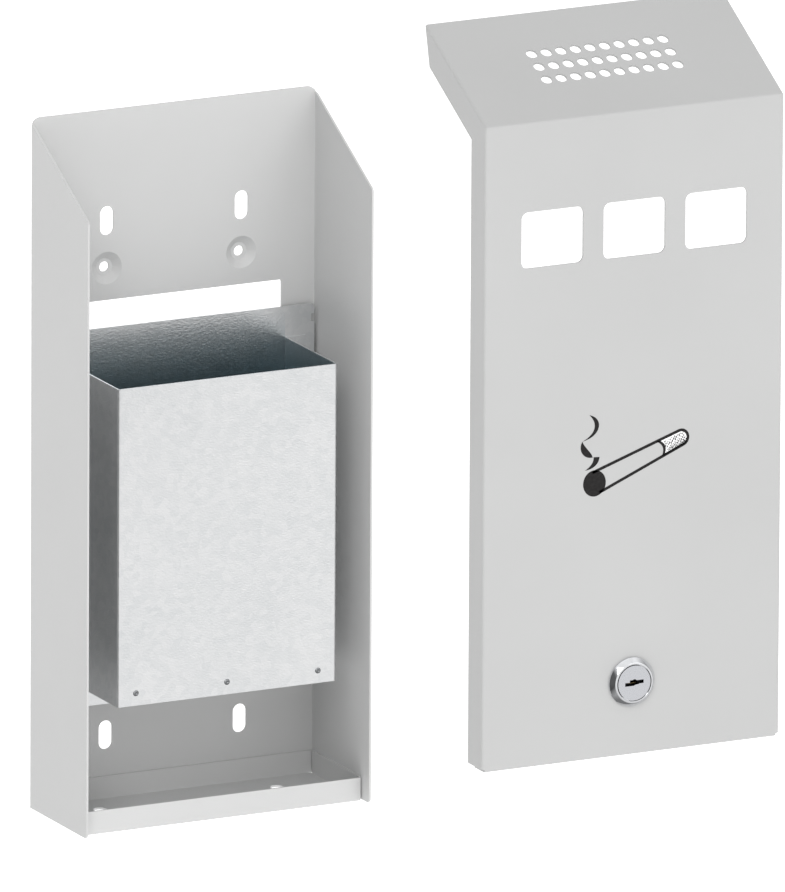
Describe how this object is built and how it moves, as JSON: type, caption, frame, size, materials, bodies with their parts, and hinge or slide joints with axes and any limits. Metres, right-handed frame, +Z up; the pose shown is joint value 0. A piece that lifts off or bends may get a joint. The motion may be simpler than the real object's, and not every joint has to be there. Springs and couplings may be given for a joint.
{
  "type": "wall ashtray bin",
  "caption": "Wall-mounted folded-steel ashtray bin: open-fronted housing, lift-out container and a lift-off cover with stub-out slots, roof vents and a cam lock.",
  "frame": {"origin": "middle between the two dished wall screws' holes, on the wall plane", "axes": "+Z up, -Y out of the wall towards the user, X across"},
  "size_m": [0.184, 0.5884, 0.5756],
  "materials": {
    "painted_steel": "light grey satin powder coat",
    "galvanised_steel": "galvanised sheet with a faint spangle",
    "rivet_steel": "plain rivet steel",
    "lock_chrome": "polished chrome plate",
    "zinc_plate": "bright zinc plate",
    "lock_brass": "plain brass",
    "printed_symbol": "flat black print"
  },
  "bodies": {
    "housing": {"back_housing": "painted_steel", "bottom_pan": "painted_steel"},
    "container": {"container_body": "galvanised_steel", "container_back_plate": "galvanised_steel", "container_bottom": "galvanised_steel", "container_bottom_rivets": "rivet_steel", "container_hanger": "galvanised_steel"},
    "cover": {"front_cover": "painted_steel", "lock_barrel": "lock_chrome", "lock_washer": "zinc_plate", "lock_nut": "zinc_plate"},
    "lock": {"lock_plug": "lock_chrome", "lock_wafers": "lock_brass", "wafer_springs": "zinc_plate", "lock_stop_washer": "zinc_plate", "lock_cam": "zinc_plate", "cam_washer": "zinc_plate", "cam_screw": "zinc_plate"}
  },
  "joints": [
    {"name": "cover_slide", "type": "slide", "parent": "housing", "child": "cover", "axis": [0, -0.9472, 0.3207], "range_m": [-0.532, 0]},
    {"name": "container_lift", "type": "slide", "parent": "housing", "child": "container", "axis": [0, 0, 1], "range_m": [0, 0.1]},
    {"name": "lock_turn", "type": "hinge", "parent": "cover", "child": "lock", "pos_m": [0, -0.5864, -0.1047], "axis": [0, 1, 0], "range_deg": [0, 90]}
  ]
}
